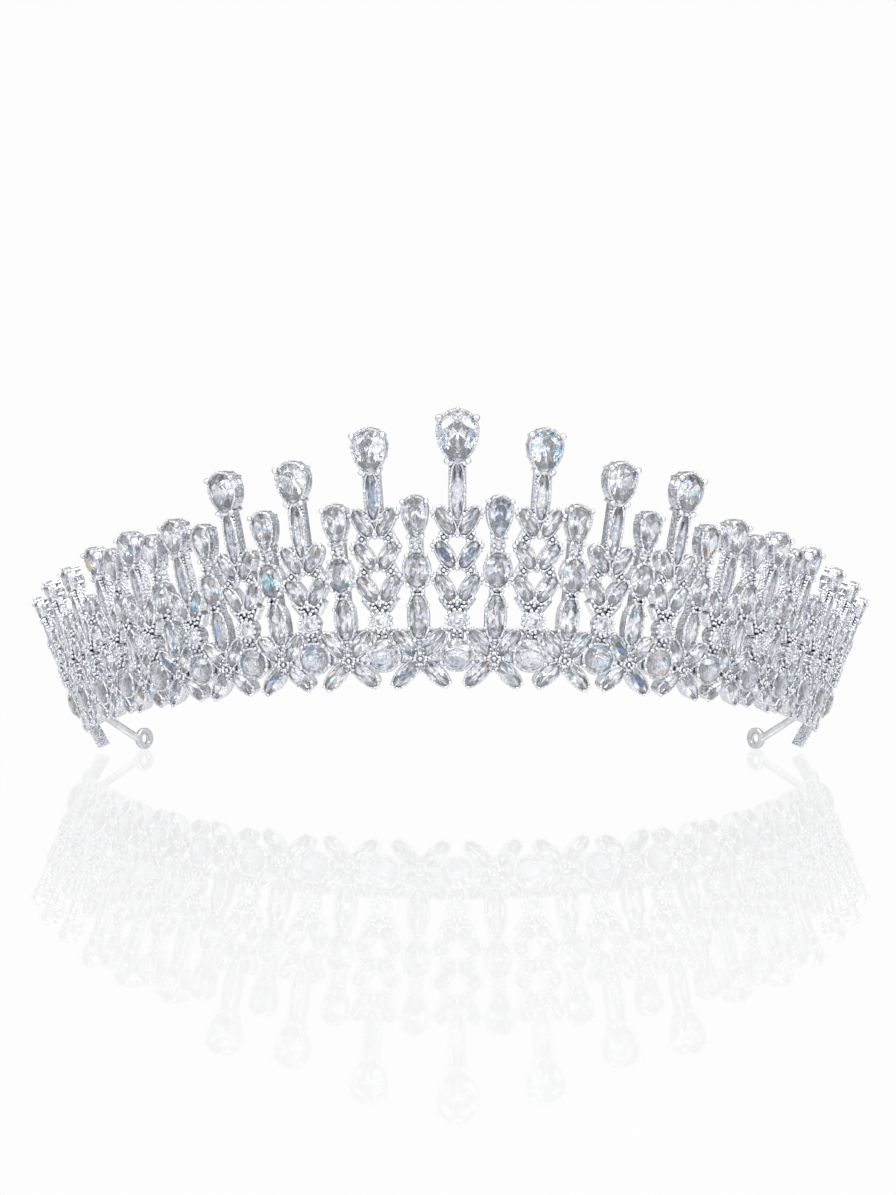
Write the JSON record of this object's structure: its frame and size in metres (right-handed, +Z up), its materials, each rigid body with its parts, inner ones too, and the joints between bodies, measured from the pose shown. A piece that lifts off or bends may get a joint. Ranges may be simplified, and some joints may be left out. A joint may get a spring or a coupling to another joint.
{
  "type": "bridal tiara",
  "caption": "Open, outward-flaring graduated tiara of alternating tall and short stone-set sprays on a rail wire, with a wire arm and eyelet at each end.",
  "frame": {"origin": "centre of the bounding box in plan, on the surface that the tiara stands on", "axes": "+X to the right seen from the front, -Y is the front, +Z up; the tiara leans back on its two eyelets with the front edge raised, as it is shown"},
  "size_m": [0.1782, 0.0974, 0.0637],
  "materials": {
    "spray_castings": "rhodium plated, polished",
    "plain_wire": "rhodium plated, satin",
    "stones": "colourless cubic zirconia, faceted"
  },
  "bodies": {
    "root": {"arm_left": "plain_wire", "arm_right": "plain_wire", "head_stone_centre": "stones", "head_stone_left_1": "stones", "head_stone_left_2": "stones", "head_stone_left_3": "stones", "head_stone_left_4": "stones", "head_stone_left_5": "stones", "head_stone_left_6": "stones", "head_stone_left_7": "stones", "head_stone_left_8": "stones", "head_stone_left_9": "stones", "head_stone_right_1": "stones", "head_stone_right_2": "stones", "head_stone_right_3": "stones", "head_stone_right_4": "stones", "head_stone_right_5": "stones", "head_stone_right_6": "stones", "head_stone_right_7": "stones", "head_stone_right_8": "stones", "head_stone_right_9": "stones", "rail_wire": "plain_wire", "short_spray_left_1": "spray_castings", "short_spray_left_2": "spray_castings", "short_spray_left_3": "spray_castings", "short_spray_left_4": "spray_castings", "short_spray_left_5": "spray_castings", "short_spray_left_6": "spray_castings", "short_spray_left_7": "spray_castings", "short_spray_left_8": "spray_castings", "short_spray_left_9": "spray_castings", "short_spray_right_1": "spray_castings", "short_spray_right_2": "spray_castings", "short_spray_right_3": "spray_castings", "short_spray_right_4": "spray_castings", "short_spray_right_5": "spray_castings", "short_spray_right_6": "spray_castings", "short_spray_right_7": "spray_castings", "short_spray_right_8": "spray_castings", "short_spray_right_9": "spray_castings", "tall_spray_centre": "spray_castings", "tall_spray_left_1": "spray_castings", "tall_spray_left_2": "spray_castings", "tall_spray_left_3": "spray_castings", "tall_spray_left_4": "spray_castings", "tall_spray_left_5": "spray_castings", "tall_spray_left_6": "spray_castings", "tall_spray_left_7": "spray_castings", "tall_spray_left_8": "spray_castings", "tall_spray_left_9": "spray_castings", "tall_spray_right_1": "spray_castings", "tall_spray_right_2": "spray_castings", "tall_spray_right_3": "spray_castings", "tall_spray_right_4": "spray_castings", "tall_spray_right_5": "spray_castings", "tall_spray_right_6": "spray_castings", "tall_spray_right_7": "spray_castings", "tall_spray_right_8": "spray_castings", "tall_spray_right_9": "spray_castings"}
  },
  "joints": []
}
